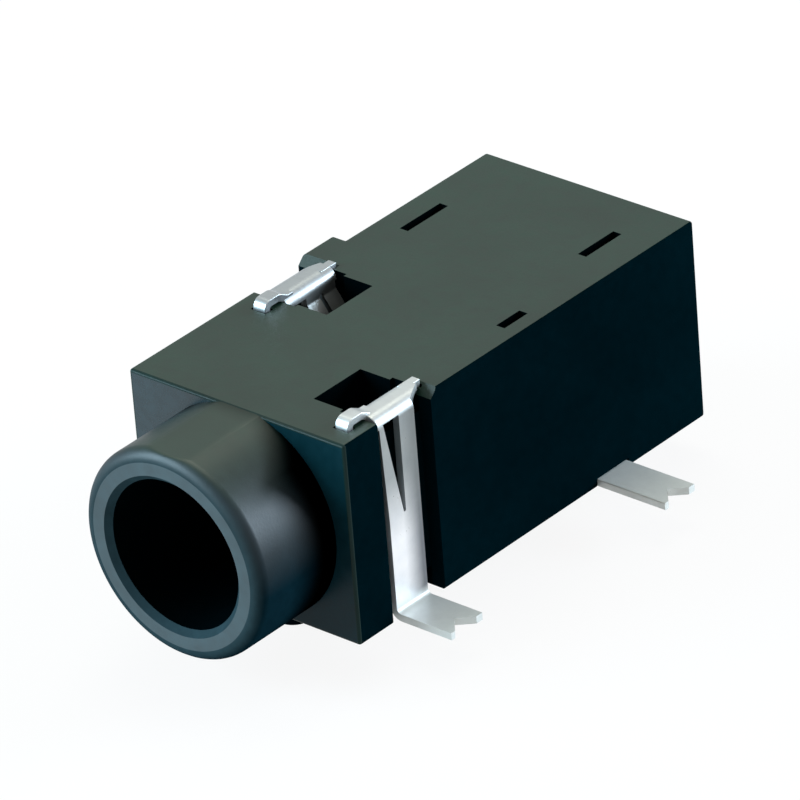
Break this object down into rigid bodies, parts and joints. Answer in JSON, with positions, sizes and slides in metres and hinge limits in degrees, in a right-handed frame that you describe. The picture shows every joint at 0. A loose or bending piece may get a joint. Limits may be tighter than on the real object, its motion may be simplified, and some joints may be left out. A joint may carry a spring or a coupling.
{
  "type": "audio jack socket",
  "caption": "Surface-mount board socket for a 3.5 mm audio plug: a moulded block with a round barrel, folded spring contacts and solder feet.",
  "frame": {"origin": "on the housing's underside, which is the board's surface, midway between the two locating pegs", "axes": "+Y along the bore, from the barrel's mouth to the closed rear end; +Z away from the board; +X to the right, seen from the mouth"},
  "size_m": [0.0098, 0.0145, 0.006],
  "materials": {
    "moulding": "black heat-resistant moulding, lightly satin",
    "sleeve_contact_metal": "bright tin plate on a copper alloy sheet",
    "ring_contact_metal": "bright tin plate on a copper alloy sheet",
    "tip_contact_metal": "bright tin plate on a copper alloy sheet",
    "switch_contact_metal": "bright tin plate on a copper alloy sheet"
  },
  "bodies": {
    "root": {"housing": "moulding", "sleeve_contact": "sleeve_contact_metal", "ring_contact": "ring_contact_metal", "tip_contact": "tip_contact_metal", "switch_contact": "switch_contact_metal"}
  },
  "joints": []
}
